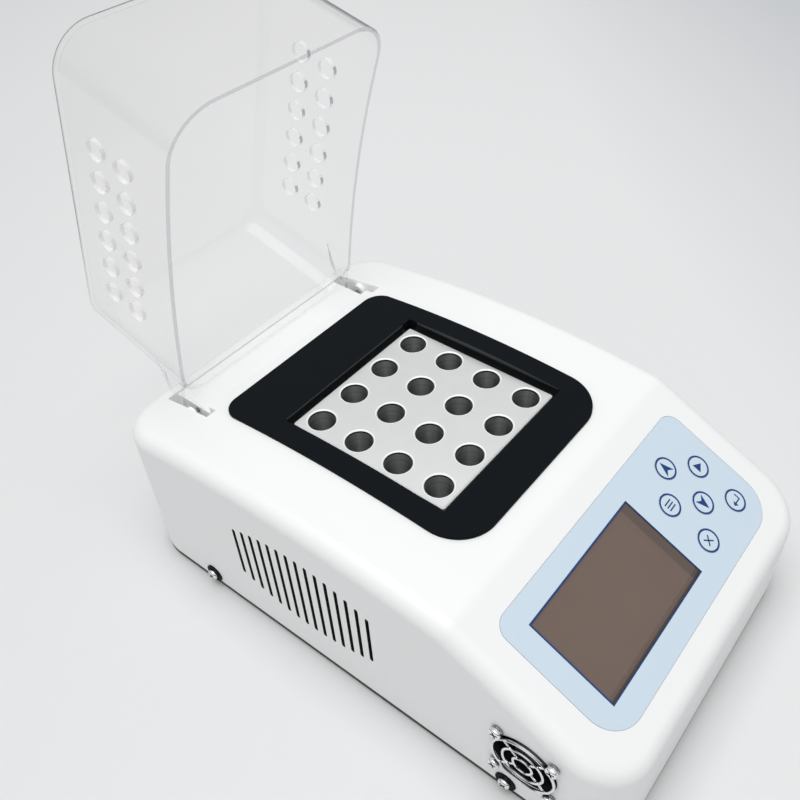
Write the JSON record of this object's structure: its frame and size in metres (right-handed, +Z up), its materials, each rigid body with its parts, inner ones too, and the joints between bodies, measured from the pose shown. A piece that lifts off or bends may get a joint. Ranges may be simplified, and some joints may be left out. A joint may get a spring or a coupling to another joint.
{
  "type": "chemical oxygen demand reactor",
  "caption": "Bench digestion reactor: crowned white housing with a sloped key panel, a heated aluminium block of vial wells in a black frame, and a clear vented cover hinged open behind it",
  "frame": {"origin": "Bottom centre of the whole box as it stands with the cover open; x = 0 is the housing's mid plane, within 0.3 mm of the box's middle", "axes": "+X to the user's right, +Y to the rear where the cover is hinged, +Z up"},
  "size_m": [0.2314, 0.4056, 0.319],
  "materials": {
    "housing_white": "fine satin moulded plastic, near white",
    "base_black": "black powder coat",
    "rubber_black": "black rubber",
    "zinc_steel": "bright zinc plate",
    "screw_chrome": "bright nickel and chrome plate",
    "trim_black": "near-black with a blue tint, satin",
    "block_aluminium": "light satin anodised",
    "plain_aluminium": "mill finish",
    "heater_rubber": "brick-red silicone",
    "insulation_board": "pressed fibre board",
    "component_black": "black moulded parts",
    "clear_plastic": "clear moulded plastic with polished faces",
    "pin_dark": "blackened steel",
    "membrane_blue": "light blue printed film, satin",
    "window_smoke": "smoked clear film",
    "display_grey": "brown-grey unlit display",
    "board_green": "green solder mask",
    "fan_black": "black moulded plastic",
    "inlet_black": "black moulded plastic",
    "fuse_glass": "glass tube with metal caps",
    "rocker_black": "polished black plastic"
  },
  "bodies": {
    "base": {"housing": "housing_white", "base_plate": "base_black", "rubber_feet": "rubber_black", "foot_screws": "zinc_steel", "side_washers": "trim_black", "side_screws": "screw_chrome", "trim_frame": "trim_black", "heating_block": "block_aluminium", "heater_pad": "heater_rubber", "carrier_plate": "plain_aluminium", "carrier_posts": "zinc_steel", "block_screws": "zinc_steel", "block_insulation": "insulation_board", "temperature_probe": "zinc_steel", "thermal_cutout": "component_black", "hinge_pins": "pin_dark", "panel_membrane": "membrane_blue", "display_window": "window_smoke", "display_module": "display_grey", "display_glass": "display_grey", "panel_board": "board_green", "panel_screws": "zinc_steel", "key_switches": "component_black", "fan_frame": "fan_black", "fan_guard": "screw_chrome", "fan_screws": "screw_chrome", "power_inlet": "inlet_black", "inlet_screws": "zinc_steel", "switch_body": "inlet_black", "control_board": "board_green", "control_parts": "component_black", "supply_board": "board_green", "supply_parts": "component_black", "board_posts": "zinc_steel", "board_screws": "zinc_steel", "heat_sink": "plain_aluminium", "solid_state_relay": "component_black", "relay_screws": "zinc_steel"},
    "cover": {"cover": "clear_plastic"},
    "rotor": {"fan_rotor": "fan_black"},
    "drawer": {"fuse_drawer": "inlet_black", "fuse": "fuse_glass"},
    "rocker": {"switch_rocker": "rocker_black"},
    "key_up": {"key_up": "membrane_blue"},
    "key_start": {"key_start": "membrane_blue"},
    "key_set": {"key_set": "membrane_blue"},
    "key_down": {"key_down": "membrane_blue"},
    "key_enter": {"key_enter": "membrane_blue"},
    "key_escape": {"key_escape": "membrane_blue"}
  },
  "joints": [
    {"name": "cover_hinge", "type": "hinge", "parent": "base", "child": "cover", "pos_m": [0, 0.1124, 0.1022], "axis": [1, 0, 0], "range_deg": [0, 74.34]},
    {"name": "rotor_spin", "type": "hinge", "parent": "base", "child": "rotor", "pos_m": [-0.102, -0.1506, 0.0434], "axis": [1, 0, 0], "continuous": true},
    {"name": "drawer_slide", "type": "slide", "parent": "base", "child": "drawer", "axis": [0, 1, 0], "range_m": [0, 0.015]},
    {"name": "rocker_tilt", "type": "hinge", "parent": "base", "child": "rocker", "pos_m": [0.022, 0.1438, 0.0422], "axis": [-1, 0, 0], "range_deg": [0, 24]},
    {"name": "up_press", "type": "slide", "parent": "base", "child": "key_up", "axis": [0, 0.4343, -0.9008], "range_m": [0, 0.0004], "stiffness_N_per_m": 1500, "springref_m": -0.0002},
    {"name": "start_press", "type": "slide", "parent": "base", "child": "key_start", "axis": [0, 0.4343, -0.9008], "range_m": [0, 0.0004], "stiffness_N_per_m": 1500, "springref_m": -0.0002},
    {"name": "set_press", "type": "slide", "parent": "base", "child": "key_set", "axis": [0, 0.4343, -0.9008], "range_m": [0, 0.0004], "stiffness_N_per_m": 1500, "springref_m": -0.0002},
    {"name": "down_press", "type": "slide", "parent": "base", "child": "key_down", "axis": [0, 0.4343, -0.9008], "range_m": [0, 0.0004], "stiffness_N_per_m": 1500, "springref_m": -0.0002},
    {"name": "enter_press", "type": "slide", "parent": "base", "child": "key_enter", "axis": [0, 0.4343, -0.9008], "range_m": [0, 0.0004], "stiffness_N_per_m": 1500, "springref_m": -0.0002},
    {"name": "escape_press", "type": "slide", "parent": "base", "child": "key_escape", "axis": [0, 0.4343, -0.9008], "range_m": [0, 0.0004], "stiffness_N_per_m": 1500, "springref_m": -0.0002}
  ]
}
